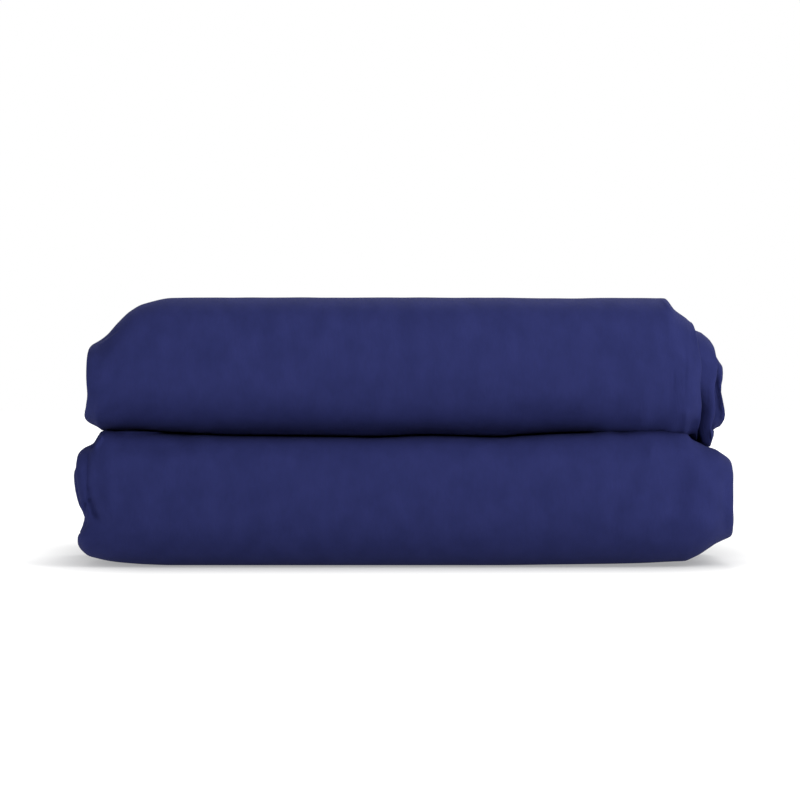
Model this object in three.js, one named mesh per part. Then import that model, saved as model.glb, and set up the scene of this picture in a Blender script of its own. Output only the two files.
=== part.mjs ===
// A queen flat sheet of brushed cloth, folded for the shelf. Millimetres, +Z up.
// The sheet is doubled three times across its width into a strip of eight plies, and the strip
// twice along its length. Both ends of that packet are folded in to its middle and it is closed
// like a book. Two fat folds show at the front, towards -Y, and one tall fold is at the back.
// The origin is on the floor, under the middle of the packet.
import * as THREE from "three";

// The sheet as it was cut, and its colour.
const SHEET_WIDTH = 2286;
const SHEET_LENGTH = 2591;
const NAVY = 0x303465;
const BRUSHED_ROUGHNESS = 0.9;

// The folds: plies in the strip, and strips that lie inside each other in the doubled packet.
const STRIP_PLIES = 8;
const LEVELS = 4;
const LAYER = 6.6; // eight plies of cloth with the air between them
const SLACK = 0.9; // between one layer and the next
const PITCH = LAYER + SLACK;
const HALF_STRIP = SHEET_WIDTH / STRIP_PLIES / 2;

// The packet in section. A fold is one of the two fat lobes that show at the front.
const FOLD_HEIGHT = 2 * LEVELS * PITCH - SLACK;
const UPPER_FOOT = FOLD_HEIGHT + SLACK;
const PACKET_HEIGHT = UPPER_FOOT + FOLD_HEIGHT;
const NOSE_REACH = FOLD_HEIGHT / 2; // how far the rounded front of a fold stands forward
const NOSE_SQUARENESS = 0.6; // 0 is a round nose, more is a blunter one
const SPINE_ROUND = 34; // outer corner of the tall fold at the back
const UPPER_END_ROOM = 8.5; // from the tucked-in ends to the inside of the back
const LOWER_END_ROOM = 15.5;
const TRIAL_DEPTH = 175; // starting value for the depth, which follows from the sheet's length

// Facets of the section.
const NOSE_STEPS = [12, 8, 6, 4]; // for each level, from the outermost in
const SPINE_STEPS = 4;
const RUN_STEPS = 2;
const TURN_STEPS = 6;

// Across the strip each level is bent at the rows of the outline between these two, and then at
// these shares of the way from there to its own side.
const FIRST_ROW = -132;
const LAST_ROW = 123;
const SIDE_SHARES = [0.4, 0.75, 1];

// How far the sides of each level stand out past half the strip's width, in the upper and the
// lower fold: the inner levels have slipped out to the right above and to the left below.
const SIDES = [
  { level: 0, upperLeft: -2, upperRight: -11, lowerLeft: 1.2, lowerRight: 3.4 },
  { level: 1, upperLeft: -2.8, upperRight: -4.5, lowerLeft: 3.4, lowerRight: 2.4 },
  { level: 2, upperLeft: -4.5, upperRight: -0.3, lowerLeft: 2.8, lowerRight: 2 },
  { level: 3, upperLeft: -5.5, upperRight: -2.5, lowerLeft: 1.2, lowerRight: 0.6 },
];

// The packet's outline along X: heights of the lower fold's underside and top and the upper fold's
// underside and top, and how far the front and back draw in towards the rounded sides.
const OUTLINE = [
  { x: -148, lowerFoot: 12, lowerTop: 47.5, upperFoot: 67, upperTop: 92, drawIn: 16 },
  { x: -144, lowerFoot: 7, lowerTop: 52.3, upperFoot: 64.5, upperTop: 96.5, drawIn: 10 },
  { x: -139, lowerFoot: 4, lowerTop: 56, upperFoot: 61.5, upperTop: 99.5, drawIn: 6 },
  { x: -132, lowerFoot: 2.4, lowerTop: 59, upperFoot: 60.2, upperTop: 103.8, drawIn: 3.5 },
  { x: -124, lowerFoot: 1.3, lowerTop: 60, upperFoot: 60.9, upperTop: 112.6, drawIn: 2 },
  { x: -115, lowerFoot: 0.5, lowerTop: 60, upperFoot: 60.9, upperTop: 118.4, drawIn: 1 },
  { x: -104, lowerFoot: 0, lowerTop: 59.2, upperFoot: 60.1, upperTop: 119.6, drawIn: 0.3 },
  { x: -75, lowerFoot: 0, lowerTop: 58, upperFoot: 58.9, upperTop: 119.6, drawIn: 0 },
  { x: -15, lowerFoot: 0, lowerTop: 57.3, upperFoot: 58.2, upperTop: 119.6, drawIn: 0 },
  { x: 35, lowerFoot: 0, lowerTop: 57.5, upperFoot: 58.4, upperTop: 119.5, drawIn: 0 },
  { x: 80, lowerFoot: 0, lowerTop: 59.2, upperFoot: 60.1, upperTop: 119.4, drawIn: 0 },
  { x: 107, lowerFoot: 0.6, lowerTop: 59.6, upperFoot: 60.5, upperTop: 119.4, drawIn: 0.3 },
  { x: 117, lowerFoot: 1.4, lowerTop: 59.2, upperFoot: 60.1, upperTop: 119.2, drawIn: 1 },
  { x: 123, lowerFoot: 2.2, lowerTop: 58.4, upperFoot: 59.3, upperTop: 112.4, drawIn: 1.8 },
  { x: 132, lowerFoot: 5, lowerTop: 55.6, upperFoot: 56.7, upperTop: 105.4, drawIn: 4 },
  { x: 138, lowerFoot: 8.4, lowerTop: 52.4, upperFoot: 53.6, upperTop: 104, drawIn: 7 },
  { x: 143, lowerFoot: 11.8, lowerTop: 49.2, upperFoot: 51.6, upperTop: 99, drawIn: 11 },
  { x: 148, lowerFoot: 16, lowerTop: 43.5, upperFoot: 52, upperTop: 97, drawIn: 16 },
];

const outlineColumns = ["lowerFoot", "lowerTop", "upperFoot", "upperTop", "drawIn"];
const outlineAt = new THREE.LinearInterpolant(
  OUTLINE.map((row) => row.x),
  OUTLINE.flatMap((row) => outlineColumns.map((column) => row[column])),
  outlineColumns.length,
);

// Distance of a level's middle line from the outside of the packet.
function inset(level) {
  return LAYER / 2 + level * PITCH;
}

// Points on a quarter or half round about a centre, from one angle to another. A squareness above
// 0 pushes the diagonals outwards, as in a superellipse.
function arc(centreY, centreZ, radius, from, to, steps, squareness = 0) {
  const power = 2 / (2 + squareness);
  const rounded = (value) => Math.sign(value) * Math.abs(value) ** power;
  return Array.from({ length: steps + 1 }, (_, i) => {
    const angle = from + ((to - from) * i) / steps;
    const y = centreY + radius * rounded(Math.cos(angle));
    const z = centreZ + radius * rounded(Math.sin(angle));
    return new THREE.Vector2(y, z);
  });
}

// Points inside a straight run, without its two ends.
function run(fromY, toY, z) {
  return Array.from({ length: RUN_STEPS - 1 }, (_, i) => {
    const y = THREE.MathUtils.lerp(fromY, toY, (i + 1) / RUN_STEPS);
    return new THREE.Vector2(y, z);
  });
}

// Where the tucked-in ends of the packet lie.
function tuckedEnd(depth, room) {
  return depth - LEVELS * PITCH - room;
}

// The middle line of one level: from its tucked-in end in the upper fold, forward and round the
// upper nose, back along the top, down the back, forward under the packet, round the lower nose
// and back to its tucked-in end in the lower fold.
function levelLine(level, depth) {
  const off = inset(level);
  const noseRadius = FOLD_HEIGHT / 2 - off;
  const squareness = NOSE_SQUARENESS * (1 - level / (LEVELS - 1));
  const nose = (middle) => {
    const half = arc(0, 0, noseRadius, -Math.PI / 2, Math.PI / 2, NOSE_STEPS[level], squareness);
    return half.map((p) => new THREE.Vector2(NOSE_REACH - p.x, middle + p.y));
  };
  const spineY = depth - SPINE_ROUND;
  const spineRadius = SPINE_ROUND - off;
  const upperEnd = tuckedEnd(depth, UPPER_END_ROOM);
  const lowerEnd = tuckedEnd(depth, LOWER_END_ROOM);
  const upperInner = UPPER_FOOT + off;
  const upperOuter = PACKET_HEIGHT - off;
  const lowerOuter = off;
  const lowerInner = FOLD_HEIGHT - off;
  return [
    new THREE.Vector2(upperEnd, upperInner),
    ...run(upperEnd, NOSE_REACH, upperInner),
    ...nose(UPPER_FOOT + FOLD_HEIGHT / 2),
    ...run(NOSE_REACH, spineY, upperOuter),
    ...arc(spineY, PACKET_HEIGHT - SPINE_ROUND, spineRadius, Math.PI / 2, 0, SPINE_STEPS),
    ...arc(spineY, SPINE_ROUND, spineRadius, 0, -Math.PI / 2, SPINE_STEPS),
    ...run(spineY, NOSE_REACH, lowerOuter),
    ...nose(FOLD_HEIGHT / 2),
    ...run(NOSE_REACH, lowerEnd, lowerInner),
    new THREE.Vector2(lowerEnd, lowerInner),
  ].map((point) => ({ point, level }));
}

// A doubling of the strip that joins the ends of two levels, without the ends themselves.
function turn(fromLevel, toLevel, endY, foldFace, outward) {
  const fromZ = foldFace + outward * inset(fromLevel);
  const toZ = foldFace + outward * inset(toLevel);
  const start = fromZ < toZ ? -Math.PI / 2 : Math.PI / 2;
  const bend = arc(endY, (fromZ + toZ) / 2, Math.abs(toZ - fromZ) / 2, start, -start, TURN_STEPS);
  return bend.slice(1, -1).map((point, i) => {
    const level = THREE.MathUtils.lerp(fromLevel, toLevel, (i + 1) / TURN_STEPS);
    return { point, level };
  });
}

// The whole strip from hem to hem, in the order in which its four lengths follow each other.
function stripLine(depth) {
  const upperEnd = tuckedEnd(depth, UPPER_END_ROOM);
  const lowerEnd = tuckedEnd(depth, LOWER_END_ROOM);
  const [outer, second, third, inner] = [0, 1, 2, 3];
  return [
    ...levelLine(inner, depth),
    ...turn(inner, outer, lowerEnd, FOLD_HEIGHT, -1),
    ...levelLine(outer, depth).reverse(),
    ...turn(outer, second, upperEnd, UPPER_FOOT, 1),
    ...levelLine(second, depth),
    ...turn(second, third, lowerEnd, FOLD_HEIGHT, -1),
    ...levelLine(third, depth).reverse(),
  ];
}

// The packet is as deep as the sheet's length makes it: each level runs across it four times.
function packetDepth() {
  const trial = stripLine(TRIAL_DEPTH).map((entry) => entry.point);
  const steps = trial.slice(1).map((point, i) => point.distanceTo(trial[i]));
  const length = steps.reduce((sum, step) => sum + step, 0);
  return TRIAL_DEPTH + (SHEET_LENGTH - length) / (4 * LEVELS);
}

// The direction across the layer at one point of the strip's line, lengthened at a bend so that
// the layer keeps its thickness there.
function mitre(line, i) {
  const last = line.length - 1;
  const normal = (from, to) => {
    const step = line[to].point.clone().sub(line[from].point);
    return new THREE.Vector2(-step.y, step.x).normalize();
  };
  const before = normal(Math.max(i - 1, 0), Math.max(i, 1));
  const after = normal(Math.min(i, last - 1), Math.min(i + 1, last));
  const middle = before.clone().add(after).normalize();
  return middle.divideScalar(middle.dot(before));
}

// Share of the upper fold at a place in the section: a clean step in front, where the folds part,
// and a slow change down the back, where each level runs from one into the other.
function upperShare(y, z, depth) {
  const atBack = THREE.MathUtils.smoothstep(y, tuckedEnd(depth, LOWER_END_ROOM), depth);
  const spread = SLACK / 2 + (FOLD_HEIGHT / 2) * atBack;
  const middle = FOLD_HEIGHT + SLACK / 2;
  return THREE.MathUtils.smoothstep(z, middle - spread, middle + spread);
}

// How far one side of the strip stands out at a level, which may lie between two tabled ones.
function sideOut(side, level, share) {
  const at = (row) => THREE.MathUtils.lerp(row[`lower${side}`], row[`upper${side}`], share);
  const below = Math.min(Math.floor(level), LEVELS - 2);
  return THREE.MathUtils.lerp(at(SIDES[below]), at(SIDES[below + 1]), level - below);
}

// The settled place of a point of the evenly folded packet.
function settle(x, y, z, depth) {
  const { mapLinear } = THREE.MathUtils;
  const [lowerFoot, lowerTop, upperFoot, upperTop, drawIn] = outlineAt.evaluate(x);
  const settledY = (y - depth / 2) * (1 - drawIn / (depth / 2));
  let settledZ = mapLinear(z, FOLD_HEIGHT, UPPER_FOOT, lowerTop, upperFoot);
  if (z < FOLD_HEIGHT) settledZ = mapLinear(z, 0, FOLD_HEIGHT, lowerFoot, lowerTop);
  if (z > UPPER_FOOT) settledZ = mapLinear(z, UPPER_FOOT, PACKET_HEIGHT, upperFoot, upperTop);
  return new THREE.Vector3(x, settledY, settledZ);
}

// Places across one level of the strip, from its left side to its right side.
function stations(left, right) {
  const rows = OUTLINE.map((row) => row.x).filter((x) => x >= FIRST_ROW && x <= LAST_ROW);
  const toLeft = SIDE_SHARES.map((share) => THREE.MathUtils.lerp(FIRST_ROW, left, share));
  const toRight = SIDE_SHARES.map((share) => THREE.MathUtils.lerp(LAST_ROW, right, share));
  return [...toLeft.reverse(), ...rows, ...toRight];
}

// The strip is a flat box, bent at its stations and along its line, and settled.
function foldedStrip() {
  const depth = packetDepth();
  const line = stripLine(depth);
  const bends = stations(-HALF_STRIP, HALF_STRIP).length - 1;
  const geometry = new THREE.BoxGeometry(1, 1, 1, bends, line.length - 1, 1);
  const corner = new THREE.Vector3();
  const positions = geometry.attributes.position;
  for (let i = 0; i < positions.count; i += 1) {
    corner.fromBufferAttribute(positions, i);
    const index = Math.round((corner.y + 0.5) * (line.length - 1));
    const { point, level } = line[index];
    const placed = mitre(line, index).multiplyScalar(corner.z * LAYER).add(point);
    const share = upperShare(placed.x, placed.y, depth);
    const left = -HALF_STRIP - sideOut("Left", level, share);
    const right = HALF_STRIP + sideOut("Right", level, share);
    const x = stations(left, right)[Math.round((corner.x + 0.5) * bends)];
    const settled = settle(x, placed.x, placed.y, depth);
    positions.setXYZ(i, settled.x, settled.y, settled.z);
  }
  geometry.computeVertexNormals();
  return geometry;
}

const cloth = new THREE.MeshStandardMaterial({ color: NAVY, roughness: BRUSHED_ROUGHNESS, metalness: 0 });
const sheet = new THREE.Mesh(foldedStrip(), cloth);
sheet.name = "sheet";

const foldedSheet = new THREE.Group();
foldedSheet.add(sheet);

export default foldedSheet;
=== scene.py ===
"""A queen flat sheet of brushed navy cloth, folded for the shelf, on a pale floor.

The one cloth is followed from hem to hem: eight plies across the width, in a strip that is doubled
twice along its length, folded in from both ends and closed like a book. The folds are worked out in
millimetres and the scene is in metres.
"""
import math

import bpy
import numpy as np
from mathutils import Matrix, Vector


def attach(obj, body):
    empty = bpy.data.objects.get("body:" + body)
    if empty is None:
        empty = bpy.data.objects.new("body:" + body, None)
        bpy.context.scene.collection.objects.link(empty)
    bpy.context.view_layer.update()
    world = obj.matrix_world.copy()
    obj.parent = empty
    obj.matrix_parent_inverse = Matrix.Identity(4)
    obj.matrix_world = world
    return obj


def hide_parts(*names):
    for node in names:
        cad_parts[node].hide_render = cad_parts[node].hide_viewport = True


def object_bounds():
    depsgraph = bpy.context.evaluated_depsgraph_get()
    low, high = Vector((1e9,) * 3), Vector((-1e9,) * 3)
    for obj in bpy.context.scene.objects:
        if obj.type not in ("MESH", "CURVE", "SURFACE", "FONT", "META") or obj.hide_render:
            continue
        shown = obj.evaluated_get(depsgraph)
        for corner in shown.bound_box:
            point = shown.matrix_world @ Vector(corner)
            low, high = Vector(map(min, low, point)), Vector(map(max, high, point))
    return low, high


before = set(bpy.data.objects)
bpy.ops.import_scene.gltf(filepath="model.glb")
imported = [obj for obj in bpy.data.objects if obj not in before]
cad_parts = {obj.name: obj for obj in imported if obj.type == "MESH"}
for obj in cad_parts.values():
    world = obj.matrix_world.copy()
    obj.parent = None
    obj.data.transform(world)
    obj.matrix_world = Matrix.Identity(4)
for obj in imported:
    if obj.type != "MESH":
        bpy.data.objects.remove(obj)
cad_low, cad_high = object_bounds()

MM = 0.001

# The sheet as it was cut, and its folds: plies in the strip, and strips inside each other.
SHEET_WIDTH = 2286.0
STRIP_PLIES = 8
LEVELS = 4
LAYER = 6.6  # eight plies of cloth with the air between them
SLACK = 0.9  # between one layer and the next
PITCH = LAYER + SLACK
PLY_PITCH = LAYER / (STRIP_PLIES - 1)
HALF_STRIP = SHEET_WIDTH / STRIP_PLIES / 2
LEFT_BEND = LAYER / 2  # reach of the widest bend between two plies at each side of the strip
RIGHT_BEND = 1.5 * PLY_PITCH

# The packet in section.
DEPTH = (cad_high.y - cad_low.y) / MM
FOLD_HEIGHT = 2 * LEVELS * PITCH - SLACK
UPPER_FOOT = FOLD_HEIGHT + SLACK
PACKET_HEIGHT = UPPER_FOOT + FOLD_HEIGHT
NOSE_REACH = FOLD_HEIGHT / 2
SPINE_ROUND = 34.0

# How square each fold's front is, below and above its middle: 0 is a circle and 2 a squircle.
UPPER_NOSE = {"below": -0.35, "above": 0.6}
LOWER_NOSE = {"below": 0.3, "above": 1.3}

# Room behind the strip's tucked-in ends, and where that puts them in the packet's depth.
UPPER_ROOM = 8.5
LOWER_ROOM = 15.5
UPPER_END = DEPTH - LEVELS * PITCH - UPPER_ROOM
LOWER_END = DEPTH - LEVELS * PITCH - LOWER_ROOM

# Rows of the mesh in each part of a level, from the outermost level in, and how many times closer
# they are on the ply that shows.
PARTS = ["inner", "nose", "top", "corner", "back", "corner", "under", "nose", "inner"]
STEPS = [
    {"inner": 3, "nose": 20, "top": 12, "corner": 8, "back": 9, "under": 3},
    {"inner": 2, "nose": 12, "top": 3, "corner": 4, "back": 2, "under": 2},
    {"inner": 2, "nose": 9, "top": 3, "corner": 4, "back": 2, "under": 2},
    {"inner": 2, "nose": 7, "top": 3, "corner": 4, "back": 2, "under": 2},
]
CLOSER_ROWS = {"inner": 1, "nose": 4, "top": 2, "corner": 2, "back": 2, "under": 2}
TURN_STEPS = 7

# Points of an arc and steps of half a nose, before their rows are spaced evenly.
ARC_POINTS = 400
HALF_NOSE_STEPS = 200

# Columns of the mesh across a ply: share of the ply in each end part, columns in an end part, between
# and in a bend. They crowd towards the ends in the plies that are mostly hidden.
END_SHARE = 0.13
HIDDEN_COLUMNS = {"end": 8, "between": 3, "bend": 4}
HIDDEN_CROWDING = 1.6
SHOWN_COLUMNS = {"end": 72, "between": 72, "bend": 20}
SHOWN_MAIN = {"end": 12, "between": 24, "bend": 4}  # every so many of these go on through all rows
BEND_SQUARENESS = 2.0

# How far the sides of each level stand out past half the strip's width, and how they wander.
SIDES = [
    {"upper_left": -2.0, "upper_right": -4.3, "lower_left": 1.2, "lower_right": 3.4},
    {"upper_left": -2.8, "upper_right": -1.3, "lower_left": 3.4, "lower_right": 2.4},
    {"upper_left": -4.5, "upper_right": -3.0, "lower_left": 2.8, "lower_right": 2.0},
    {"upper_left": -5.5, "upper_right": -4.5, "lower_left": 1.2, "lower_right": 0.6},
]
WANDER = {"reach": 0.9, "lengths": [67.0, 155.0], "left_phase": 0.7, "right_phase": 2.9}

# How far the plies of the outermost layer stop short at the right of the upper fold, by height before
# the packet settles: first the outer ones, which wrap the others, then the rest.
WRAP_PLIES = 4
SHORT = [
    {"z": 60, "wrap": 7.4, "others": 0},
    {"z": 67, "wrap": 6.9, "others": 0},
    {"z": 71, "wrap": 6.8, "others": 1.8},
    {"z": 77, "wrap": 6.5, "others": 2.2},
    {"z": 82, "wrap": 6.4, "others": 1.5},
    {"z": 87, "wrap": 6.7, "others": 0.7},
    {"z": 94, "wrap": 6.8, "others": 0.4},
    {"z": 103, "wrap": 7.5, "others": 0.5},
    {"z": 112, "wrap": 8.3, "others": 0.4},
    {"z": 120, "wrap": 9.2, "others": 0},
]
SHORT_AT_BACK = 0.2  # share of that left at the back

# The packet's outline along X: heights of the lower fold's underside and top and the upper fold's
# underside and top, and how far the front and back draw in towards the rounded sides.
OUTLINE = [
    {"x": -148, "low_foot": 12, "low_top": 47, "up_foot": 69, "up_top": 91, "draw_in": 11},
    {"x": -143.5, "low_foot": 7, "low_top": 52.4, "up_foot": 66, "up_top": 95.4, "draw_in": 6},
    {"x": -139.8, "low_foot": 3.9, "low_top": 54.4, "up_foot": 63.5, "up_top": 98.5, "draw_in": 3.7},
    {"x": -136.6, "low_foot": 3, "low_top": 58.2, "up_foot": 61.6, "up_top": 100.3, "draw_in": 2.7},
    {"x": -134.6, "low_foot": 2.5, "low_top": 60, "up_foot": 60.1, "up_top": 101.6, "draw_in": 2.3},
    {"x": -132.3, "low_foot": 2, "low_top": 60.3, "up_foot": 60.2, "up_top": 103.4, "draw_in": 1.8},
    {"x": -127.5, "low_foot": 1.3, "low_top": 59.7, "up_foot": 60.1, "up_top": 108.7, "draw_in": 1.2},
    {"x": -122, "low_foot": 0.8, "low_top": 59.8, "up_foot": 60.4, "up_top": 113.8, "draw_in": 0.8},
    {"x": -116, "low_foot": 0.4, "low_top": 59.5, "up_foot": 60.3, "up_top": 117, "draw_in": 0.5},
    {"x": -103, "low_foot": 0, "low_top": 58.8, "up_foot": 59.4, "up_top": 119.4, "draw_in": 0.2},
    {"x": -75, "low_foot": 0, "low_top": 57.7, "up_foot": 58.6, "up_top": 119.6, "draw_in": 0},
    {"x": -41, "low_foot": 0, "low_top": 57.4, "up_foot": 58.3, "up_top": 119.6, "draw_in": 0},
    {"x": -11, "low_foot": 0, "low_top": 57, "up_foot": 57.9, "up_top": 119.6, "draw_in": 0},
    {"x": 8, "low_foot": 0, "low_top": 57.9, "up_foot": 58.8, "up_top": 119.6, "draw_in": 0},
    {"x": 40, "low_foot": 0, "low_top": 57.2, "up_foot": 58.1, "up_top": 119.5, "draw_in": 0},
    {"x": 68, "low_foot": 0.3, "low_top": 58.5, "up_foot": 59.4, "up_top": 119.4, "draw_in": 0},
    {"x": 97, "low_foot": 0.7, "low_top": 59.2, "up_foot": 60.1, "up_top": 119.4, "draw_in": 0.1},
    {"x": 108, "low_foot": 1.0, "low_top": 59.4, "up_foot": 60.2, "up_top": 119.4, "draw_in": 0.3},
    {"x": 116, "low_foot": 1.4, "low_top": 59.6, "up_foot": 60.3, "up_top": 119.3, "draw_in": 1},
    {"x": 120.6, "low_foot": 1.6, "low_top": 59.5, "up_foot": 59.9, "up_top": 114.2, "draw_in": 1.5},
    {"x": 125.2, "low_foot": 1.8, "low_top": 58.7, "up_foot": 59.0, "up_top": 110.9, "draw_in": 2.2},
    {"x": 128.5, "low_foot": 3, "low_top": 57.0, "up_foot": 57.3, "up_top": 108.6, "draw_in": 2.9},
    {"x": 130.6, "low_foot": 4, "low_top": 55.4, "up_foot": 55.6, "up_top": 109.4, "draw_in": 3.4},
    {"x": 132.6, "low_foot": 5.1, "low_top": 54.4, "up_foot": 51.4, "up_top": 108.2, "draw_in": 4},
    {"x": 134.8, "low_foot": 6.6, "low_top": 53.3, "up_foot": 49.4, "up_top": 106.5, "draw_in": 4.7},
    {"x": 136.6, "low_foot": 7.8, "low_top": 52.7, "up_foot": 48.9, "up_top": 104.8, "draw_in": 5.6},
    {"x": 138.8, "low_foot": 9.3, "low_top": 52, "up_foot": 54.4, "up_top": 101, "draw_in": 7},
    {"x": 141.3, "low_foot": 10.6, "low_top": 50.4, "up_foot": 57, "up_top": 94.2, "draw_in": 9.2},
    {"x": 144.6, "low_foot": 12.2, "low_top": 48, "up_foot": 57.4, "up_top": 92.6, "draw_in": 12},
    {"x": 148, "low_foot": 15.2, "low_top": 43, "up_foot": 59, "up_top": 94, "draw_in": 16},
]

# The gap between the folds closes towards the back, from this far before the lower fold's tucked-in end
# to this far past it.
JOIN_REACH = 20.0

# How far the slopes at the two ends drift in towards the back, unevenly, as a share of their distance
# from the middle.
DRIFT = {"left": 0.03, "right": 0.035, "unevenness": 0.4, "lengths": [57.0, 96.0]}

# How far the packet's two ends stand out past the evenly folded strip, by settled height.
ENDS = [
    {"z": 0, "left": 0, "right": 0},
    {"z": 9, "left": 1.2, "right": 0.4},
    {"z": 13, "left": 0.6, "right": 1.4},
    {"z": 20, "left": -4.2, "right": 0.6},
    {"z": 26, "left": -2.1, "right": 0},
    {"z": 36, "left": 0, "right": 0},
    {"z": 44, "left": 0.9, "right": 0.6},
    {"z": 49, "left": 0.8, "right": 0.4},
    {"z": 55, "left": -1, "right": 0},
    {"z": 60, "left": 0, "right": 0},
    {"z": 66, "left": 1.6, "right": 1.6},
    {"z": 71, "left": 0, "right": 0.5},
    {"z": 77, "left": -1.2, "right": -0.8},
    {"z": 84, "left": -0.9, "right": 0.3},
    {"z": 90, "left": -0.8, "right": 1.0},
    {"z": 95, "left": -0.7, "right": 0.4},
    {"z": 120, "left": 0, "right": 0},
]
END_REACH = 26.0  # how far in from an end that shift fades out

# Soft troughs, and ridges with a depth below zero, from one place to another: half width and depth. In
# the front and the back "at" is a settled height, and on the top it is a distance behind the middle.
FRONT_CREASES = [
    # left end of the lower fold
    {"x": -139.2, "at": 49.5, "to_x": -139.3, "to_at": 36, "width": 0.7, "depth": 1.1},
    {"x": -139.2, "at": 35, "to_x": -138.4, "to_at": 30.5, "width": 1.1, "depth": 1.5},
    {"x": -138.1, "at": 29, "to_x": -135.8, "to_at": 22.5, "width": 1.7, "depth": 3.0},
    {"x": -135.2, "at": 33, "to_x": -132.2, "to_at": 24, "width": 4.0, "depth": 0.8},
    {"x": -140.4, "at": 28, "to_x": -140.6, "to_at": 23.5, "width": 1.0, "depth": 2.6},
    {"x": -140.6, "at": 47.5, "to_x": -140.8, "to_at": 39, "width": 0.8, "depth": 0.5},
    {"x": -131, "at": 46, "to_x": -130, "to_at": 24, "width": 3.5, "depth": -0.6},
    # left end of the upper fold
    {"x": -133.7, "at": 98.6, "to_x": -126.7, "to_at": 103, "width": 0.8, "depth": -0.5},
    {"x": -134.3, "at": 99.9, "to_x": -127.3, "to_at": 104.3, "width": 0.7, "depth": 0.8},
    # curl on the left shoulder of the lower fold
    {"x": -137.4, "at": 53.4, "to_x": -134.8, "to_at": 57.4, "width": 0.8, "depth": 1.4},
    {"x": -136.2, "at": 52.4, "to_x": -133.6, "to_at": 56.8, "width": 0.8, "depth": -1.6},
    # pleats at the right end of the upper fold
    {"x": 124.5, "at": 70, "to_x": 124.4, "to_at": 60.5, "width": 1.2, "depth": -0.6},
    {"x": 128.2, "at": 63.5, "to_x": 128.6, "to_at": 58, "width": 2.3, "depth": 1.7},
    {"x": 132.5, "at": 96, "to_x": 132, "to_at": 72, "width": 5.0, "depth": 2.4},
    {"x": 132.2, "at": 83, "to_x": 131.4, "to_at": 69, "width": 3.6, "depth": 1.6},
    {"x": 114.5, "at": 118.2, "to_x": 118.8, "to_at": 112.6, "width": 0.8, "depth": -0.4},
    {"x": 123.7, "at": 97, "to_x": 123.6, "to_at": 76, "width": 0.6, "depth": 0.25},
    {"x": 125.4, "at": 92, "to_x": 124.8, "to_at": 84, "width": 0.8, "depth": -0.2},
    {"x": 118.4, "at": 86, "to_x": 118.6, "to_at": 78, "width": 0.6, "depth": 0.18},
    # swells and hollows beside them
    {"x": 88, "at": 67, "to_x": 104, "to_at": 67, "width": 7.0, "depth": -1.5},
    {"x": 108, "at": 68, "to_x": 122, "to_at": 68, "width": 7.0, "depth": -2.6},
    {"x": 116, "at": 70, "to_x": 127, "to_at": 70, "width": 6.0, "depth": -1.3},
    {"x": 90, "at": 62, "to_x": 116, "to_at": 62, "width": 3.5, "depth": -1.8},
    {"x": 119, "at": 63.5, "to_x": 128, "to_at": 61, "width": 3.5, "depth": -2.4},
    {"x": 106, "at": 84, "to_x": 115, "to_at": 92, "width": 4.0, "depth": 0.5},
    {"x": 110, "at": 102, "to_x": 114, "to_at": 104, "width": 6.0, "depth": -0.4},
    {"x": 118.5, "at": 78, "to_x": 119.5, "to_at": 73, "width": 3.0, "depth": 0.4},
    # right end of the lower fold
    {"x": 107.5, "at": 50, "to_x": 95.6, "to_at": 10, "width": 3.6, "depth": -1.0},
    {"x": 102.5, "at": 46, "to_x": 94.5, "to_at": 26, "width": 4.2, "depth": 1.2},
    {"x": 120.8, "at": 46, "to_x": 119.6, "to_at": 29, "width": 5.5, "depth": 1.8},
    {"x": 130, "at": 44, "to_x": 130.5, "to_at": 20, "width": 4.5, "depth": -1.0},
    {"x": 97, "at": 58, "to_x": 105, "to_at": 51, "width": 2.4, "depth": 0.8},
    {"x": 141.5, "at": 38, "to_x": 141.5, "to_at": 18, "width": 2.4, "depth": 0.7},
    # softer upper edge at the left of the lower fold
    {"x": -124, "at": 54.5, "to_x": -98, "to_at": 54.5, "width": 4.5, "depth": 1.4},
    # broad swells and hollows along the upper fold
    {"x": -112, "at": 77, "to_x": -46, "to_at": 76, "width": 9.0, "depth": -1.4},
    {"x": -40, "at": 73, "to_x": 22, "to_at": 73, "width": 9.0, "depth": -0.9},
    {"x": 40, "at": 75, "to_x": 104, "to_at": 75, "width": 8.0, "depth": -1.2},
    {"x": -104, "at": 70, "to_x": -80, "to_at": 70, "width": 7.0, "depth": -0.9},
    {"x": -67, "at": 70, "to_x": -33, "to_at": 71, "width": 8.0, "depth": -0.75},
    {"x": -10, "at": 69, "to_x": 38, "to_at": 69, "width": 7.0, "depth": -0.9},
    {"x": 68, "at": 70, "to_x": 81, "to_at": 70, "width": 7.0, "depth": -0.35},
    {"x": -82, "at": 61.3, "to_x": 46, "to_at": 60.5, "width": 3.5, "depth": 0.7},
    {"x": -84, "at": 95, "to_x": -73, "to_at": 94, "width": 15.0, "depth": -0.45},
    {"x": 27, "at": 87, "to_x": 39, "to_at": 85, "width": 16.0, "depth": -0.45},
    {"x": -120, "at": 108, "to_x": -112, "to_at": 108, "width": 9.0, "depth": 0.4},
    {"x": 64, "at": 110, "to_x": 77, "to_at": 110, "width": 10.0, "depth": 0.4},
]
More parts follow.
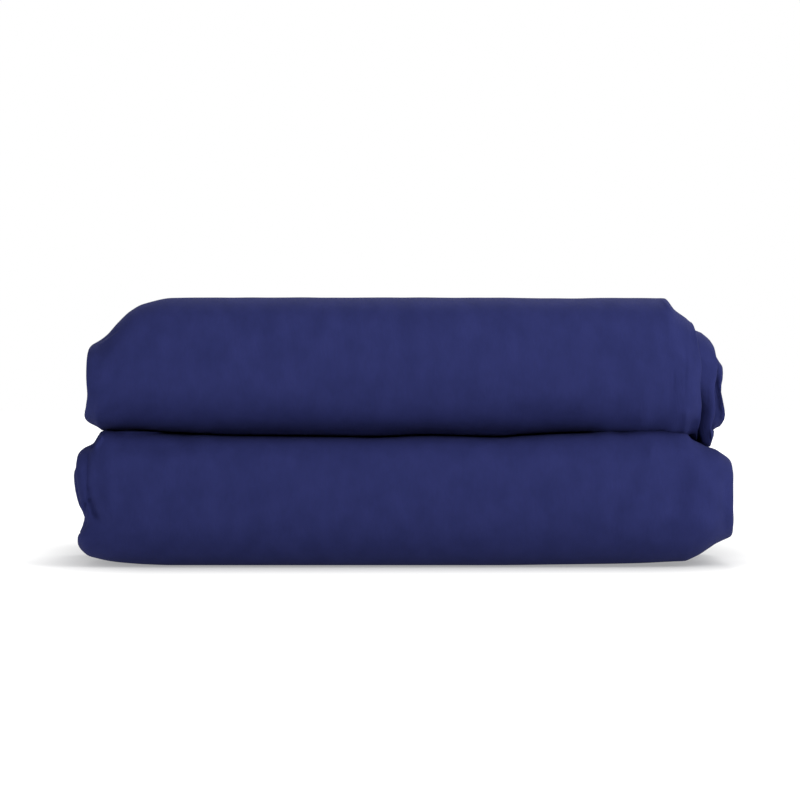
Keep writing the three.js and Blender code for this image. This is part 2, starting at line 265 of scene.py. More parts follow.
# Troughs in the plies that lie deeper than a given distance under the one that shows.
INNER_CREASES = [
    {"x": 131.8, "at": 77, "to_x": 131.2, "to_at": 57, "width": 4.5, "depth": 2.0, "under": 3.3},
    {"x": 138.0, "at": 95, "to_x": 138.2, "to_at": 80, "width": 1.4, "depth": 8.0, "under": 7.0},
    {"x": 138.4, "at": 79, "to_x": 138.4, "to_at": 66, "width": 1.7, "depth": 8.0, "under": 7.0},
]
TOP_CREASES = [
    {"x": 108, "at": -46, "to_x": 66, "to_at": -14, "width": 5.0, "depth": 1.0},
    {"x": 100, "at": 40, "to_x": 76, "to_at": 4, "width": 6.0, "depth": 1.2},
    {"x": -96, "at": -36, "to_x": -58, "to_at": -20, "width": 5.0, "depth": 1.1},
    {"x": -70, "at": 14, "to_x": 34, "to_at": 22, "width": 9.0, "depth": 1.3},
    {"x": -88, "at": 44, "to_x": -40, "to_at": 30, "width": 6.0, "depth": 1.0},
    {"x": -20, "at": -18, "to_x": 22, "to_at": -12, "width": 26.0, "depth": 1.0},
]
BACK_CREASES = [
    {"x": -128, "at": 96, "to_x": -104, "to_at": 52, "width": 4.5, "depth": 1.1},
    {"x": 126, "at": 92, "to_x": 96, "to_at": 40, "width": 5.0, "depth": 1.2},
    {"x": -112, "at": 34, "to_x": -70, "to_at": 44, "width": 5.0, "depth": 0.8},
    {"x": -66, "at": 62, "to_x": 72, "to_at": 57, "width": 9.0, "depth": 1.1},
    {"x": 24, "at": 84, "to_x": 66, "to_at": 76, "width": 7.0, "depth": 0.7},
]
CREASE_REACH = 26.0  # how deep into the packet a crease goes
FRONT_FADE = {"before": 6.0, "past": 8.0}  # about the noses' middles, where creases of the front fade out
HIDDEN_SPREAD = 4.5  # how much wider a trough is in the plies under the one that shows

# Faint ripples all over the shown ply: wavelengths across and along the cloth, phase and height. Less
# of them is left on the top, which its own weight flattens.
RIPPLE_ON_TOP = 0.35
RIPPLES = [
    {"across": 19.0, "along": 88.0, "phase": 0.4, "height": 0.07},
    {"across": -27.0, "along": 61.0, "phase": 2.1, "height": 0.09},
    {"across": 47.0, "along": -133.0, "phase": 4.4, "height": 0.12},
    {"across": 12.5, "along": 170.0, "phase": 1.3, "height": 0.04},
]

# The cloth: two navies that it varies between, and in metres the grains of its nap and of its mottling
# across and along the cloth, the pitch of its threads, and the heights of threads and nap.
DEEP_NAVY = (0.0166, 0.0206, 0.0885)
PALE_NAVY = (0.0224, 0.0271, 0.1131)
NAP_GRAIN = (0.001, 0.0035)
MOTTLE_GRAIN = (0.009, 0.012)
NAP_SHARE = 0.3  # of the change of colour, and the rest is the mottling's
ROUGHNESS = (0.82, 0.96)
SPECULAR = 0.06
SHEEN = {"weight": 0.02, "roughness": 0.35, "tint": (0.45, 0.5, 0.9, 1.0)}
THREAD_PITCH = 0.00036
WEAVE = {"height": 0.0001, "strength": 0.35, "unevenness": 7.0, "uneven_scale": 0.35}
FUZZ = {"height": 0.0002, "strength": 0.5, "least": 0.3, "most": 1.5}

# Blender's own textures: detail of a noise, the range that most of it lies in, and the wavelength of a
# wave texture of scale 1.
NOISE_DETAIL = 3.0
NOISE_RANGE = (0.3, 0.7)
WAVE_LENGTH = math.pi / 10

# The floor, in metres. It glows though it is no lamp, so that it is white but for a soft shade about the
# packet: partly the lamps' real shadow and partly painted shadow, where the glow is weaker. The glow
# grows with the distance from a line under the packet, counted by these factors past the line's ends,
# behind it and in front of it. The line is longer the further behind the packet a place is.
WHITE = (1.0, 1.0, 1.0, 1.0)
FLOOR_SIZE = 40.0
FLOOR_DROP = 0.0002  # under the cloth
FLOOR_GREY = 0.4
FLOOR_ROUGHNESS = 0.9
# how the painted shadow about the packet is shaped
PAINTED_SHADE = {"past_end": 2.4, "end": 0.245, "longer_behind": 0.33, "behind": 0.52, "in_front": 1.15}
# the floor's painted light, weakest near the packet
GLOWS = [
    {"start": 0.07, "end": 0.2, "low": 0.33, "high": 0.85},
    {"start": 0.3, "end": 2.0, "low": 0.0, "high": 0.4},
]

# The studio: white walls where a direction rises less than one amount, a dimmer ceiling where it rises
# more than another, and soft lamps.
WALL_RISE = 0.14
CEILING_RISE = 0.35
CEILING_BRIGHTNESS = 0.26
LAMPS = {
    "key": {"place": (0.55, -0.6, 0.65), "aim": (0.0, -0.05, 0.07), "size": 0.8, "power": 7.8},
    "fill": {"place": (-0.35, -0.2, 1.0), "aim": (-0.05, 0.0, 0.1), "size": 0.8, "power": 1.5},
    "rim": {"place": (0.2, 1.0, 1.1), "aim": (0.0, 0.0, 0.1), "size": 0.5, "power": 11.0},
}

# The camera looks level at the front, as the photograph does.
SENSOR = 36.0
CAMERA_DISTANCE = 1.5  # from the front of the folds
CAMERA_HEIGHT = 0.0738
CAMERA_SIDE = -0.00175
FRAME_WIDTH = 0.3508  # of the picture, at the front of the folds


def lerp(a, b, share):
    return a + (b - a) * share


def smoothstep(value, low, high):
    t = np.clip((value - low) / (high - low), 0.0, 1.0)
    return t * t * (3.0 - 2.0 * t)


def smooth_through(xs, values, x):
    """A smooth curve through tabled points that never overshoots them."""
    xs, values = np.asarray(xs, float), np.asarray(values, float)
    step = np.diff(xs)
    slope = np.diff(values) / step
    tangent = np.zeros(len(xs))
    same_way = slope[:-1] * slope[1:] > 0
    weight_a = 2 * step[1:] + step[:-1]
    weight_b = step[1:] + 2 * step[:-1]
    safe = np.where(same_way, slope[:-1], 1.0), np.where(same_way, slope[1:], 1.0)
    mean = (weight_a + weight_b) / (weight_a / safe[0] + weight_b / safe[1])
    tangent[1:-1] = np.where(same_way, mean, 0.0)
    tangent[0], tangent[-1] = slope[0], slope[-1]
    i = np.clip(np.searchsorted(xs, x) - 1, 0, len(step) - 1)
    t = np.clip((x - xs[i]) / step[i], 0.0, 1.0)
    start, end = values[i], values[i + 1]
    bend = step[i] * (tangent[i] * t * (1 - t) ** 2 - tangent[i + 1] * t**2 * (1 - t))
    return start + (end - start) * t * t * (3 - 2 * t) + bend


def inset(level):
    """Distance of a level's middle line from the outside of the packet."""
    return LAYER / 2 + level * PITCH


def distances(points):
    """How far along its line each point lies."""
    return np.concatenate([[0.0], np.cumsum(np.linalg.norm(np.diff(points, axis=0), axis=1))])


def evenly(points, steps):
    """The same line with its points at even distances."""
    far = distances(points)
    at = np.linspace(0.0, far[-1], steps + 1)
    return np.stack([np.interp(at, far, points[:, k]) for k in range(2)], axis=1)


def arc(centre, radius, start, end, steps, squareness=0.0):
    """Points on a round about a centre, from one angle to another."""
    power = 2.0 / (2.0 + squareness)
    angle = np.linspace(start, end, ARC_POINTS)
    parts = np.cos(angle), np.sin(angle)
    rounded = [np.sign(part) * np.abs(part) ** power for part in parts]
    return evenly(np.stack([centre[k] + radius * rounded[k] for k in range(2)], axis=1), steps)


def run(start_y, end_y, z, steps):
    """A straight run, without its two ends."""
    ys = np.linspace(start_y, end_y, steps + 1)[1:-1]
    return np.stack([ys, np.full(len(ys), z)], axis=1)


def closer(part, level):
    """How many times closer the rows of a part are on the ply that shows."""
    return CLOSER_ROWS[part] if level == 0 else 1


def main_rows(level):
    """Which rows of a level's line all its plies have."""
    main = [True]
    for part in PARTS:
        times = closer(part, level)
        main += ([False] * (times - 1) + [True]) * STEPS[level][part]
    return np.array(main)


def level_line(level):
    """The middle line of one level, from its tucked-in end in the upper fold round the back to its
    tucked-in end in the lower fold, as points (y, z)."""
    steps = {part: count * closer(part, level) for part, count in STEPS[level].items()}
    off = inset(level)
    right = math.pi / 2
    share = 1 - level / (LEVELS - 1)
    spine_y, spine_radius = DEPTH - SPINE_ROUND, SPINE_ROUND - off

    def nose(middle, below, above):
        """The round front of a fold about its middle height."""
        radius = FOLD_HEIGHT / 2 - off
        lower = arc((0.0, 0.0), radius, -right, 0.0, HALF_NOSE_STEPS, below * share)
        upper = arc((0.0, 0.0), radius, 0.0, right, HALF_NOSE_STEPS, above * share)
        half = evenly(np.concatenate([lower, upper[1:]]), steps["nose"])
        return np.stack([NOSE_REACH - half[:, 0], middle + half[:, 1]], axis=1)

    upper_corner = (spine_y, PACKET_HEIGHT - SPINE_ROUND)
    lower_corner = (spine_y, SPINE_ROUND)
    back = np.linspace(upper_corner[1], lower_corner[1], steps["back"] + 1)[1:-1]
    return np.concatenate([
        [[UPPER_END, UPPER_FOOT + off]],
        run(UPPER_END, NOSE_REACH, UPPER_FOOT + off, steps["inner"]),
        nose(UPPER_FOOT + FOLD_HEIGHT / 2, **UPPER_NOSE),
        run(NOSE_REACH, spine_y, PACKET_HEIGHT - off, steps["top"]),
        arc(upper_corner, spine_radius, right, 0.0, steps["corner"]),
        np.stack([np.full(len(back), DEPTH - off), back], axis=1),
        arc(lower_corner, spine_radius, 0.0, -right, steps["corner"]),
        run(spine_y, NOSE_REACH, off, steps["under"]),
        nose(FOLD_HEIGHT / 2, **LOWER_NOSE),
        run(NOSE_REACH, LOWER_END, FOLD_HEIGHT - off, steps["inner"]),
        [[LOWER_END, FOLD_HEIGHT - off]],
    ])


def turn(start_level, end_level, end_y, fold_face, outward):
    """A doubling of the strip that joins the ends of two levels, without those ends."""
    start_z = fold_face + outward * inset(start_level)
    end_z = fold_face + outward * inset(end_level)
    angle = -math.pi / 2 if start_z < end_z else math.pi / 2
    centre = (end_y, (start_z + end_z) / 2)
    points = arc(centre, abs(end_z - start_z) / 2, angle, -angle, TURN_STEPS)[1:-1]
    levels = np.linspace(start_level, end_level, TURN_STEPS + 1)[1:-1]
    return {
        "point": points,
        "level": levels,
        "facing": np.zeros(len(points)),
        "main": np.ones(len(points), bool),
    }


def length(level, way):
    """The strip along one level, with way -1 from the lower fold's end to the upper fold's."""
    points = level_line(level)[::way]
    flat = np.ones(len(points))
    return {
        "point": points,
        "level": level * flat,
        "facing": -way * flat,
        "main": main_rows(level)[::way],
    }


def strip_rows():
    """The rows of the strip from hem to hem: place in the section, level, which way the first ply
    faces (1 is outwards), whether all plies have the row, and whether it is in the outermost level."""
    outer, second, third, inner = range(LEVELS)
    outermost = length(outer, -1)
    stretches = [
        length(inner, 1),
        turn(inner, outer, LOWER_END, FOLD_HEIGHT, -1),
        outermost,
        turn(outer, second, UPPER_END, UPPER_FOOT, 1),
        length(second, 1),
        turn(second, third, LOWER_END, FOLD_HEIGHT, -1),
        length(third, -1),
    ]
    rows = {name: np.concatenate([stretch[name] for stretch in stretches]) for name in stretches[0]}
    in_outer = [np.full(len(stretch["level"]), stretch is outermost) for stretch in stretches]
    rows["outer"] = np.concatenate(in_outer)
    return rows


def mitres(points):
    """The direction across the strip at each point of its line, lengthened at a bend."""
    step = np.diff(points, axis=0)
    step /= np.linalg.norm(step, axis=1)[:, None]
    normal = np.stack([-step[:, 1], step[:, 0]], axis=1)
    before = np.concatenate([normal[:1], normal])
    after = np.concatenate([normal, normal[-1:]])
    middle = before + after
    middle /= np.linalg.norm(middle, axis=1)[:, None]
    return middle / np.sum(middle * before, axis=1)[:, None]


def ply_places(shown):
    """Places across one ply, from 0 to 1, and whether they go on through all rows."""
    count = SHOWN_COLUMNS if shown else HIDDEN_COLUMNS
    every = SHOWN_MAIN if shown else dict.fromkeys(HIDDEN_COLUMNS, 1)
    crowding = 1.0 if shown else HIDDEN_CROWDING
    end = END_SHARE * np.linspace(0.0, 1.0, count["end"] + 1) ** crowding
    middle = np.linspace(END_SHARE, 1.0 - END_SHARE, count["between"] + 1)[1:-1]
    end_main = np.arange(len(end)) % every["end"] == 0
    middle_main = np.arange(1, len(middle) + 1) % every["between"] == 0
    places = np.concatenate([end, middle, 1.0 - end[::-1]])
    return places, np.concatenate([end_main, middle_main, end_main[::-1]])


def ply_columns():
    """The columns of the cloth from hem to hem: ply, share of the way from the strip's left end to
    its right end, distance past that end in a bend, distance from the strip's middle line, whether
    all rows have the column, and whether it is in the ply that shows or the bend before it."""
    ply_of_length = [3, 4, 7, 0, 1, 6, 5, 2]  # three doublings put the lengths in this order
    centre = (STRIP_PLIES - 1) / 2
    columns = []
    for k, ply in enumerate(ply_of_length):
        shown = ply == 0
        leftwards = k % 2 == 0
        here = (ply - centre) * PLY_PITCH
        for place, main in zip(*ply_places(shown)):
            columns.append((ply, 1.0 - place if leftwards else place, 0.0, here, main, shown))
        if k + 1 == STRIP_PLIES:
            break
        next_shown = ply_of_length[k + 1] == 0
        there = (ply_of_length[k + 1] - centre) * PLY_PITCH
        steps = SHOWN_COLUMNS["bend"] if next_shown else HIDDEN_COLUMNS["bend"]
        every = SHOWN_MAIN["bend"] if next_shown else 1
        radius, quarter = abs(there - here) / 2, math.pi / 2
        bend = arc((0.0, 0.0), radius, -quarter, quarter, steps, BEND_SQUARENESS)
        for i, (out, up) in enumerate(bend[1:-1], start=1):
            past, end = (-out, 0.0) if leftwards else (out, 1.0)
            off = (here + there) / 2 + math.copysign(1.0, there - here) * up
            columns.append((ply, end, past, off, i % every == 0, next_shown))
    names = ["ply", "across", "past", "off", "main", "shown"]
    return {name: np.array(values) for name, values in zip(names, zip(*columns))}


def upper_share(y, z):
    """Share of the upper fold: a clean step in front and a slow change down the back."""
    spread = SLACK / 2 + FOLD_HEIGHT / 2 * smoothstep(y, LOWER_END, DEPTH)
    middle = FOLD_HEIGHT + SLACK / 2
    return smoothstep(z, middle - spread, middle + spread)


def side_out(side, level, share):
    """How far one side of the strip stands out at a level, which may lie between two tabled ones."""
    rows = np.arange(LEVELS)
    lower = np.interp(level, rows, [row[f"lower_{side}"] for row in SIDES])
    upper = np.interp(level, rows, [row[f"upper_{side}"] for row in SIDES])
    return lerp(lower, upper, share)


def wander(side, along, level, y):
    """How unevenly one side of the layers lies, in the inner levels and behind the fronts."""
    free = np.maximum(smoothstep(y, NOSE_REACH, DEPTH), np.clip(level - 1, 0, 1))
    phase = WANDER[f"{side}_phase"]
    waves = [
        np.sin(2 * math.pi * along / size + phase * k)
        for k, size in enumerate(WANDER["lengths"], start=1)
    ]
    return WANDER["reach"] * free * sum(waves)


def drift(x, y):
    """How far the outline drifts in at a depth in the packet, as a share."""
    back = smoothstep(y, NOSE_REACH, DEPTH)
    waves = [np.sin(2 * math.pi * y / size + k) for k, size in enumerate(DRIFT["lengths"])]
    uneven = 1 + DRIFT["unevenness"] * sum(waves)
    return np.where(x < 0, DRIFT["left"], DRIFT["right"]) * back * uneven


def settle(x, y, z):
    """The settled place of points of the evenly folded packet."""
    xs = [row["x"] for row in OUTLINE]
    at = x * (1 + drift(x, y))
    low_foot, low_top, up_foot, up_top, draw_in = (
        smooth_through(xs, [row[name] for row in OUTLINE], at)
        for name in ("low_foot", "low_top", "up_foot", "up_top", "draw_in")
    )
    seam = (low_top + up_foot) / 2
    joined = smoothstep(y, LOWER_END - JOIN_REACH, LOWER_END + JOIN_REACH)
    low_top = lerp(low_top, seam - SLACK / 2, joined)
    up_foot = lerp(up_foot, seam + SLACK / 2, joined)
    lower = lerp(low_foot, low_top, z / FOLD_HEIGHT)
    between = lerp(low_top, up_foot, (z - FOLD_HEIGHT) / SLACK)
    upper = lerp(up_foot, up_top, (z - UPPER_FOOT) / FOLD_HEIGHT)
    height = np.where(z < FOLD_HEIGHT, lower, np.where(z > UPPER_FOOT, upper, between))
    return x, (y - DEPTH / 2) * (1 - draw_in / (DEPTH / 2)), height


def stand_out(x, z):
    """The uneven ends of the packet."""
    zs = [row["z"] for row in ENDS]
    left = smooth_through(zs, [row["left"] for row in ENDS], z)
    right = smooth_through(zs, [row["right"] for row in ENDS], z)
    near_left = smoothstep(-x, HALF_STRIP - END_REACH, HALF_STRIP)
    near_right = smoothstep(x, HALF_STRIP - END_REACH, HALF_STRIP)
    return x - left * near_left + right * near_right


def trough_depth(creases, x, at, hidden):
    """Depth of the troughs less the height of the ridges. In the hidden plies a trough is wider and
    there is no ridge, so that they stay under the ply that shows."""
    depth = np.zeros_like(x)
    for row in creases:
        line_x, line_at = row["to_x"] - row["x"], row["to_at"] - row["at"]
        off_x, off_at = x - row["x"], at - row["at"]
        along = np.clip((off_x * line_x + off_at * line_at) / (line_x**2 + line_at**2), 0.0, 1.0)
        away = np.hypot(off_x - along * line_x, off_at - along * line_at)
        width = row["width"] + HIDDEN_SPREAD * hidden
        left_out = hidden & (row["depth"] < 0)
        depth += np.where(left_out, 0.0, row["depth"] * np.exp(-((away / width) ** 2)))
    return depth


def crease(x, y, z, below, hidden):
    """The troughs and ridges in the front, top and back, which fade out with depth in the packet."""
    fade = np.clip(1 - below / CREASE_REACH, 0.0, 1.0)
    nose_y = NOSE_REACH - DEPTH / 2
    nose_z = np.where(z > FOLD_HEIGHT, UPPER_FOOT + FOLD_HEIGHT / 2, FOLD_HEIGHT / 2)
    in_y, in_z = nose_y - y, nose_z - z
    far = np.maximum(np.hypot(in_y, in_z), 1.0)  # not zero at the middle itself
    in_front = 1 - smoothstep(y, nose_y - FRONT_FADE["before"], nose_y + FRONT_FADE["past"])
    behind = smoothstep(y, DEPTH / 2 - 2 * SPINE_ROUND, DEPTH / 2 - SPINE_ROUND / 2)
    on_top = smoothstep(z, PACKET_HEIGHT / 2, PACKET_HEIGHT) * (1 - in_front) * (1 - behind)
    front = trough_depth(FRONT_CREASES, x, z, hidden)
    for row in INNER_CREASES:
        front += np.where(below > row["under"], trough_depth([row], x, z, False), 0.0)
    front *= fade * in_front
    top = trough_depth(TOP_CREASES, x, y, hidden) * fade * on_top
    back = trough_depth(BACK_CREASES, x, z, hidden) * fade * behind
    return x, y + front * in_y / far - back, z + front * in_z / far - top


def ripple(x, y, z, along, outward):
    """Faint ripples of the shown ply, outwards from the packet but not into the floor."""
    height = np.zeros_like(x)
    for row in RIPPLES:
        turns = x / row["across"] + along / row["along"]
        height += row["height"] * np.sin(2 * math.pi * turns + row["phase"])
    lift = height * RIPPLE_ON_TOP * np.maximum(outward[..., 1], 0.0)
    return x, y + height * outward[..., 0], z + lift


def folded_grid(rows, columns):
    """The cloth's points, rows along its length and columns across its width."""
    points, off = rows["point"], columns["off"][None, :]
    across = mitres(points)[:, None, :]
    section = points[:, None, :] + across * off[..., None]
    y, z = section[..., 0], section[..., 1]
    share = upper_share(y, z)
    level = np.broadcast_to(rows["level"][:, None], y.shape)
    below = level * PITCH + LAYER / 2 + rows["facing"][:, None] * off
    along = distances(points)[:, None]
    shown = rows["outer"][:, None] & columns["shown"][None, :]

    left = -HALF_STRIP - side_out("left", level, share) - wander("left", along, level, y)
    heights = [row["z"] for row in SHORT]
    wrap = smooth_through(heights, [row["wrap"] for row in SHORT], z)
    others = smooth_through(heights, [row["others"] for row in SHORT], z)
    short = np.where(columns["ply"] < WRAP_PLIES, wrap, others) * np.clip(1 - level, 0, 1) * share
    short = short * lerp(1.0, SHORT_AT_BACK, smoothstep(y, NOSE_REACH, DEPTH))
    right = HALF_STRIP + side_out("right", level, share) + wander("right", along, level, y)
    x = lerp(left + LEFT_BEND, right - RIGHT_BEND - short, columns["across"][None, :])
    x = x + columns["past"][None, :]

    x, y, z = settle(x, y, z)
    x = stand_out(x, z)
    x, y, z = crease(x, y, z, below, ~shown)
    return np.stack(ripple(x, y, z, along, -across * shown[..., None]), axis=-1)


def cloth_faces(rows, columns):
    """Faces of the cloth, as places (row, column): one for each pair of main rows and main columns,
    and one for each pair of any rows and columns where it shows. A face beside that stretch has the
    points of the finer edge."""
    main_row, main_column = np.flatnonzero(rows["main"]), np.flatnonzero(columns["main"])
    first_row, last_row = np.flatnonzero(rows["outer"])[[0, -1]]
    first_column, last_column = np.flatnonzero(columns["shown"])[[0, -1]]
    first_column -= 1  # where the ply before meets the bend
    faces = []
    for r in range(first_row, last_row):
        for c in range(first_column, last_column):
            faces.append([(r, c), (r, c + 1), (r + 1, c + 1), (r + 1, c)])
    for low, high in zip(main_row[:-1], main_row[1:]):
        shown_row = first_row <= low < last_row
        for start, end in zip(main_column[:-1], main_column[1:]):
            shown_column = first_column <= start < last_column
            if shown_row and shown_column:
                continue
            across = range(start, end)
            up = range(low, high)
            low_edge = across if shown_column and low == last_row else [start]
            high_edge = across if shown_column and high == first_row else [start]
            end_edge = up if shown_row and end == first_column else [low]
            start_edge = up if shown_row and start == last_column else [low]
            face = [(low, c) for c in low_edge] + [(r, end) for r in end_edge]
            face += [(high, c) for c in [end, *high_edge[:0:-1]]]
            face += [(r, start) for r in [high, *start_edge[:0:-1]]]
            faces.append(face)
    return faces


def cloth_mesh(name):
    """The folded cloth as a mesh, with the flat cloth as its UV map, in metres."""
    rows, columns = strip_rows(), ply_columns()
    grid = folded_grid(rows, columns) * MM
    places = cloth_faces(rows, columns)
    sizes = [len(face) for face in places]
    flat_places = np.array([place for face in places for place in face])
    used, corner = np.unique(flat_places[:, 0] * grid.shape[1] + flat_places[:, 1], return_inverse=True)
    faces = [part.tolist() for part in np.split(corner, np.cumsum(sizes)[:-1])]
    mesh = bpy.data.meshes.new(name)
    mesh.from_pydata(grid.reshape(-1, 3)[used].tolist(), [], faces)
    mesh.polygons.foreach_set("use_smooth", np.ones(len(mesh.polygons), bool))
    along = np.linalg.norm(np.diff(grid, axis=0), axis=-1).mean(axis=1)
    aside = np.linalg.norm(np.diff(grid, axis=1), axis=-1).mean(axis=0)
    v = np.concatenate([[0.0], np.cumsum(along)])
    u = np.concatenate([[0.0], np.cumsum(aside)])
    flat = np.stack(np.meshgrid(u, v), axis=-1).reshape(-1, 2)[used]
    mesh.uv_layers.new(name="cloth").data.foreach_set("uv", flat[corner].ravel())
    mesh.update()
    return mesh


def navy_cloth():
    """Brushed navy sheeting: a fine plain weave under a short nap that lies along the cloth."""
    material = bpy.data.materials.new("navy_cloth")
    material.use_nodes = True
    nodes, links = material.node_tree.nodes, material.node_tree.links
    shader = nodes["Principled BSDF"]
    shader.inputs["Specular IOR Level"].default_value = SPECULAR
    shader.inputs["Sheen Weight"].default_value = SHEEN["weight"]
    shader.inputs["Sheen Roughness"].default_value = SHEEN["roughness"]
    shader.inputs["Sheen Tint"].default_value = SHEEN["tint"]
    cloth = nodes.new("ShaderNodeUVMap")
    cloth.uv_map = "cloth"

    def noise(across, along):
        """Noise with grains of the given sizes in metres."""
        scale = nodes.new("ShaderNodeMapping")
        scale.inputs["Scale"].default_value = (1 / across, 1 / along, 1.0)
        grain = nodes.new("ShaderNodeTexNoise")
        grain.inputs["Scale"].default_value = 1.0
        grain.inputs["Detail"].default_value = NOISE_DETAIL
        links.new(cloth.outputs["UV"], scale.inputs["Vector"])
        links.new(scale.outputs["Vector"], grain.inputs["Vector"])
        return grain.outputs["Fac"]

    def mapped(value, low, high):
        """Noise spread over a range."""
        spread = nodes.new("ShaderNodeMapRange")
        spread.inputs["From Min"].default_value = NOISE_RANGE[0]
        spread.inputs["From Max"].default_value = NOISE_RANGE[1]
        spread.inputs["To Min"].default_value = low
        spread.inputs["To Max"].default_value = high
        links.new(value, spread.inputs["Value"])
        return spread.outputs["Result"]

    def combined(a, b, operation):
        """Two values added or multiplied."""
        result = nodes.new("ShaderNodeMath")
        result.operation = operation
        links.new(a, result.inputs[0])
        links.new(b, result.inputs[1])
        return result.outputs["Value"]

    def threads(direction):
        """The height of uneven threads that lie side by side in one direction."""
        wave = nodes.new("ShaderNodeTexWave")
        wave.bands_direction = direction
        wave.inputs["Scale"].default_value = WAVE_LENGTH / THREAD_PITCH
        wave.inputs["Distortion"].default_value = WEAVE["unevenness"]
        wave.inputs["Detail Scale"].default_value = WEAVE["uneven_scale"]
        links.new(cloth.outputs["UV"], wave.inputs["Vector"])
        return wave.outputs["Fac"]

    nap = noise(*NAP_GRAIN)
    mottle = noise(*MOTTLE_GRAIN)
    paleness = combined(mapped(nap, 0.0, NAP_SHARE), mapped(mottle, 0.0, 1.0 - NAP_SHARE), "ADD")
    colour = nodes.new("ShaderNodeMix")
    colour.data_type = "RGBA"
    colour.inputs["A"].default_value = (*DEEP_NAVY, 1.0)
    colour.inputs["B"].default_value = (*PALE_NAVY, 1.0)
    links.new(paleness, colour.inputs["Factor"])
    links.new(colour.outputs["Result"], shader.inputs["Base Color"])
    links.new(mapped(nap, *ROUGHNESS), shader.inputs["Roughness"])

    weave = nodes.new("ShaderNodeBump")
    weave.inputs["Strength"].default_value = WEAVE["strength"]
    weave.inputs["Distance"].default_value = WEAVE["height"]
    links.new(combined(threads("X"), threads("Y"), "MULTIPLY"), weave.inputs["Height"])
    fuzz = nodes.new("ShaderNodeBump")
    fuzz.inputs["Strength"].default_value = FUZZ["strength"]
    fuzz.inputs["Distance"].default_value = FUZZ["height"]
    patches = mapped(mottle, FUZZ["least"], FUZZ["most"])
    links.new(combined(nap, patches, "MULTIPLY"), fuzz.inputs["Height"])
    links.new(weave.outputs["Normal"], fuzz.inputs["Normal"])
    links.new(fuzz.outputs["Normal"], shader.inputs["Normal"])
    return material


def pale_floor(size, below):
    """A white floor that glows though it is no lamp, and glows less near the packet as a painted shadow.
    """
    half = size / 2
    mesh = bpy.data.meshes.new("floor")
    corners = [(-half, -half, -below), (half, -half, -below), (half, half, -below), (-half, half, -below)]
    mesh.from_pydata(corners, [], [(0, 1, 2, 3)])
    material = bpy.data.materials.new("floor")
    material.use_nodes = True
    nodes, links = material.node_tree.nodes, material.node_tree.links
    shader = nodes["Principled BSDF"]
    shader.inputs["Base Color"].default_value = (FLOOR_GREY, FLOOR_GREY, FLOOR_GREY, 1.0)
    shader.inputs["Roughness"].default_value = FLOOR_ROUGHNESS
    shader.inputs["Specular IOR Level"].default_value = 0.0
    shader.inputs["Emission Color"].default_value = WHITE
    place = nodes.new("ShaderNodeTexCoord").outputs["Object"]
    origin = (0.0, 0.0, 0.0)

    def stepped(operation, vector, operand):
        """The vector after one step of sums with another, which is fixed or comes from a node."""
        step = nodes.new("ShaderNodeVectorMath")
        step.operation = operation
        links.new(vector, step.inputs[0])
        if isinstance(operand, tuple):
            step.inputs[1].default_value = operand
        else:
            links.new(operand, step.inputs[1])
        return step.outputs["Vector"]

    # distance from the line under the packet, which shapes the painted shadow: X is past its ends, and Y
    # is behind or in front of it
    beside = stepped("MAXIMUM", place, stepped("MULTIPLY", place, (-1.0, 1.0, 1.0)))
    behind = stepped("MAXIMUM", beside, origin)
    past_end = nodes.new("ShaderNodeVectorMath")
    past_end.operation = "DOT_PRODUCT"
    past_end.inputs[1].default_value = (PAINTED_SHADE["past_end"], -PAINTED_SHADE["longer_behind"], 0.0)
    links.new(behind, past_end.inputs[0])
    ends = nodes.new("ShaderNodeCombineXYZ")
    links.new(past_end.outputs["Value"], ends.inputs["X"])
    there = stepped("MULTIPLY", place, (0.0, PAINTED_SHADE["behind"], 0.0))
    here = stepped("MULTIPLY", place, (0.0, -PAINTED_SHADE["in_front"], 0.0))
    both_ways = stepped("ADD", stepped("MAXIMUM", there, here), ends.outputs["Vector"])
    past = stepped("SUBTRACT", both_ways, (PAINTED_SHADE["end"], 0.0, 0.0))
    distance = nodes.new("ShaderNodeVectorMath")
    distance.operation = "LENGTH"
    links.new(stepped("MAXIMUM", past, origin), distance.inputs[0])

    def glow(start, end, low, high):
        """Painted light of the glowing floor, which grows from one distance to another."""
        growth = nodes.new("ShaderNodeMapRange")
        growth.interpolation_type = "SMOOTHSTEP"
        growth.inputs["From Min"].default_value = start
        growth.inputs["From Max"].default_value = end
        growth.inputs["To Min"].default_value = low
        growth.inputs["To Max"].default_value = high
        links.new(distance.outputs["Value"], growth.inputs["Value"])
        return growth.outputs["Result"]

    # the floor's glow, weaker near the packet: painted light and painted shadow
    painted_glow = nodes.new("ShaderNodeMath")
    painted_glow.operation = "ADD"
    for k, row in enumerate(GLOWS):
        links.new(glow(**row), painted_glow.inputs[k])
    links.new(painted_glow.outputs["Value"], shader.inputs["Emission Strength"])
    mesh.materials.append(material)
    piece = bpy.data.objects.new("floor", mesh)
    bpy.context.scene.collection.objects.link(piece)
    return piece


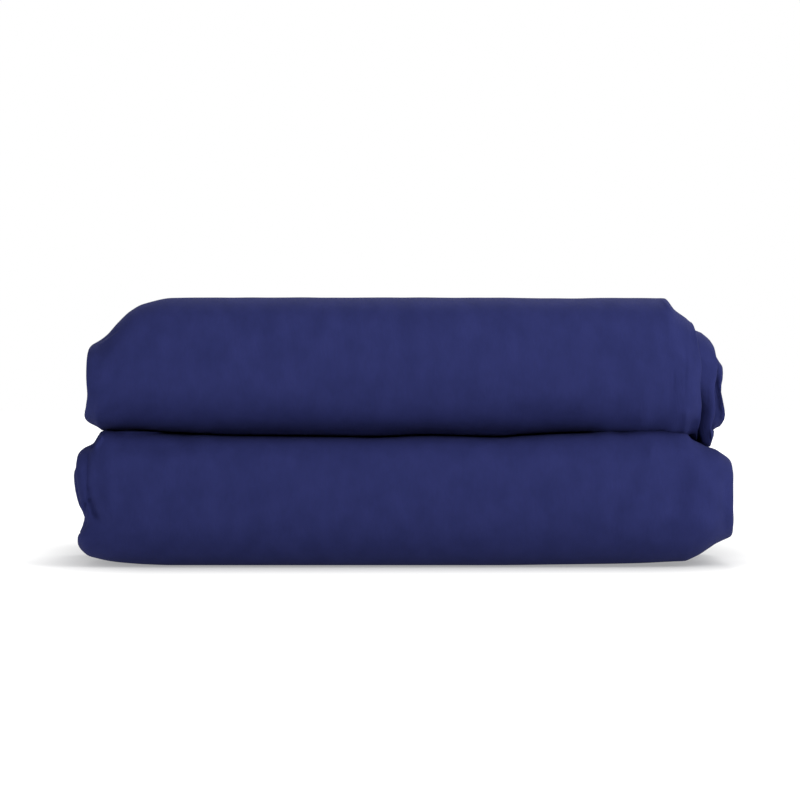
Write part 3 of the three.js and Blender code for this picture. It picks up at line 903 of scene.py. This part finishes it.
def studio_world():
    """White walls all round, and a dimmer ceiling."""
    world = bpy.data.worlds.new("studio")
    world.use_nodes = True
    nodes, links = world.node_tree.nodes, world.node_tree.links
    direction = nodes.new("ShaderNodeTexCoord")
    split = nodes.new("ShaderNodeSeparateXYZ")
    brightness = nodes.new("ShaderNodeMapRange")
    brightness.inputs["From Min"].default_value = WALL_RISE
    brightness.inputs["From Max"].default_value = CEILING_RISE
    brightness.inputs["To Min"].default_value = 1.0
    brightness.inputs["To Max"].default_value = CEILING_BRIGHTNESS
    links.new(direction.outputs["Generated"], split.inputs["Vector"])
    links.new(split.outputs["Z"], brightness.inputs["Value"])
    links.new(brightness.outputs["Result"], nodes["Background"].inputs["Strength"])
    nodes["Background"].inputs["Color"].default_value = WHITE
    return world


def area_light(name, place, aim, size, power):
    """A round soft lamp that the camera doesn't see."""
    data = bpy.data.lights.new(name, "AREA")
    data.shape = "DISK"
    data.size = size
    data.energy = power
    light = bpy.data.objects.new(name, data)
    light.location = place
    light.rotation_euler = (Vector(aim) - Vector(place)).to_track_quat("-Z", "Y").to_euler()
    light.visible_camera = False
    bpy.context.scene.collection.objects.link(light)


sheet = bpy.data.objects.new("flat_sheet", cloth_mesh("flat_sheet"))
sheet.data.materials.append(navy_cloth())
bpy.context.scene.collection.objects.link(sheet)
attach(sheet, "root")
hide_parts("sheet")

pale_floor(FLOOR_SIZE, FLOOR_DROP)
bpy.context.scene.world = studio_world()
for lamp_name, lamp in LAMPS.items():
    area_light(lamp_name, **lamp)

camera_data = bpy.data.cameras.new("camera")
camera_data.sensor_width = SENSOR
camera_data.lens = SENSOR * CAMERA_DISTANCE / FRAME_WIDTH
camera = bpy.data.objects.new("camera", camera_data)
camera.location = (CAMERA_SIDE, cad_low.y - CAMERA_DISTANCE, CAMERA_HEIGHT)
camera.rotation_euler = (math.pi / 2, 0.0, 0.0)
bpy.context.scene.collection.objects.link(camera)
bpy.context.scene.camera = camera
bpy.context.scene.view_settings.view_transform = "Standard"
